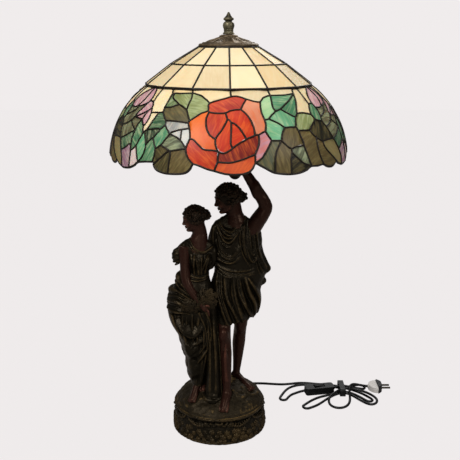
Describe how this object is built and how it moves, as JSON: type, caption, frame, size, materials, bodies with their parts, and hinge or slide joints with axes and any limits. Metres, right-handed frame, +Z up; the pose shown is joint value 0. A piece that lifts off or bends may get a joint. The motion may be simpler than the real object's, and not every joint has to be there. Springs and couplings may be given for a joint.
{
  "type": "figural table lamp",
  "caption": "Table lamp: two draped cast figures on a round plinth, one holding up a torch that carries a leaded glass shade with roses; cord with switch and plug.",
  "frame": {"origin": "on the table, below the axis of the shade", "axes": "+Z up along the shade axis, +X the viewer's right, +Y away from the viewer"},
  "size_m": [0.5373, 0.4062, 0.75],
  "materials": {
    "felt": "green-black felt",
    "plate_steel": "zinc plated",
    "screw_steel": "zinc plated",
    "ballast_iron": "as cast",
    "base_bronze": "cold-cast resin with an aged bronze finish, gold rubbed on the relief",
    "mound_bronze": "cold-cast resin, dark bronze with ochre wear",
    "cloth_bronze": "cold-cast resin, dark bronze with ochre wear on the folds",
    "skin_bronze": "cold-cast resin, reddish brown patina",
    "torch_bronze": "cold-cast resin, dark bronze",
    "flower_bronze": "cold-cast resin, rubbed gold",
    "bushing_rubber": "moulded",
    "cord_black": "flexible black jacket",
    "bulb_cap_metal": "plain",
    "bulb_glass": "frosted",
    "fitting_brass": "antique",
    "holder_black": "black",
    "porcelain": "glazed white",
    "rod_steel": "zinc plated",
    "cap_brass": "antique, embossed",
    "finial_brass": "antique",
    "cream_glass": "opalescent cream and amber streaks",
    "rose_glass": "opalescent orange and red",
    "bud_glass": "opalescent pink and mauve",
    "amber_glass": "opalescent brown and olive",
    "leaf_glass": "opalescent green",
    "solder": "dark copper patina",
    "switch_black": "moulded",
    "rocker_black": "moulded",
    "tie_black": "moulded",
    "plug_black": "moulded",
    "plug_pale": "pale translucent",
    "pin_metal": "nickel plated"
  },
  "bodies": {
    "root": {"felt_pad": "felt", "bottom_plate": "plate_steel", "bottom_screws": "screw_steel", "ballast_weight": "ballast_iron", "plinth_casting": "base_bronze", "mound_bolts": "screw_steel", "cord_bushing": "bushing_rubber", "mound_casting": "mound_bronze", "man_casting": "cloth_bronze", "raised_arm": "skin_bronze", "torch_stem": "torch_bronze", "woman_casting": "cloth_bronze", "cloth_column": "cloth_bronze", "flower_spray": "flower_bronze", "inner_lead": "cord_black", "cluster_body": "fitting_brass", "holder_nipples": "fitting_brass", "holder_caps": "fitting_brass", "holder_shells": "holder_black", "holder_inserts": "porcelain", "centre_rod": "rod_steel", "rod_nuts": "fitting_brass", "check_ring": "fitting_brass", "switch_base": "switch_black", "switch_cover": "switch_black", "switch_screws": "screw_steel", "cord_tie": "tie_black", "plug_neck": "plug_black", "plug_grip": "plug_pale", "plug_face": "plug_black", "plug_pins": "pin_metal", "lamp_lead": "cord_black", "lamp_loop": "cord_black", "switch_lead": "cord_black", "cord_hank": "cord_black"},
    "shade": {"vase_cap": "cap_brass", "shade_panel_glass": "cream_glass", "shade_panel_solder": "solder", "shade_cream_glass": "cream_glass", "shade_rose_glass": "rose_glass", "shade_bud_glass": "bud_glass", "shade_amber_glass": "amber_glass", "shade_leaf_glass": "leaf_glass", "shade_band_solder": "solder"},
    "finial_insert": {"finial_insert": "fitting_brass"},
    "finial_knob": {"finial_knob": "finial_brass"},
    "left_cap": {"left_bulb_cap": "bulb_cap_metal"},
    "left_globe": {"left_bulb_glass": "bulb_glass"},
    "right_cap": {"right_bulb_cap": "bulb_cap_metal"},
    "right_globe": {"right_bulb_glass": "bulb_glass"},
    "rocker": {"switch_rocker": "rocker_black"}
  },
  "joints": [
    {"name": "shade_turn", "type": "hinge", "parent": "root", "child": "shade", "pos_m": [0, 0, 0.7], "axis": [0, 0, 1], "continuous": true},
    {"name": "finial_rise", "type": "slide", "parent": "root", "child": "finial_insert", "axis": [0, 0, 1], "range_m": [0, 0.00941]},
    {"name": "finial_turn", "type": "hinge", "parent": "finial_insert", "child": "finial_knob", "pos_m": [0, 0, 0.725], "axis": [0, 0, 1], "range_deg": [0, 3600]},
    {"name": "left_bulb_out", "type": "slide", "parent": "root", "child": "left_cap", "axis": [-0.866, 0, 0.5], "range_m": [0, 0.00907]},
    {"name": "left_bulb_turn", "type": "hinge", "parent": "left_cap", "child": "left_globe", "pos_m": [-0.1, 0, 0.60274], "axis": [-0.866, 0, 0.5], "range_deg": [0, 900]},
    {"name": "right_bulb_out", "type": "slide", "parent": "root", "child": "right_cap", "axis": [0.866, 0, 0.5], "range_m": [0, 0.00907]},
    {"name": "right_bulb_turn", "type": "hinge", "parent": "right_cap", "child": "right_globe", "pos_m": [0.1, 0, 0.60274], "axis": [0.866, 0, 0.5], "range_deg": [0, 900]},
    {"name": "rocker_tilt", "type": "hinge", "parent": "root", "child": "rocker", "pos_m": [0.187, 0.1165, 0.014], "axis": [0.1805, -0.9836, 0], "range_deg": [0, 16]}
  ],
  "couplings": [
    {"joint": "finial_turn", "follows": "finial_rise", "rad_per_m": 6679},
    {"joint": "left_bulb_turn", "follows": "left_bulb_out", "rad_per_m": 1731.4},
    {"joint": "right_bulb_turn", "follows": "right_bulb_out", "rad_per_m": 1731.4}
  ]
}
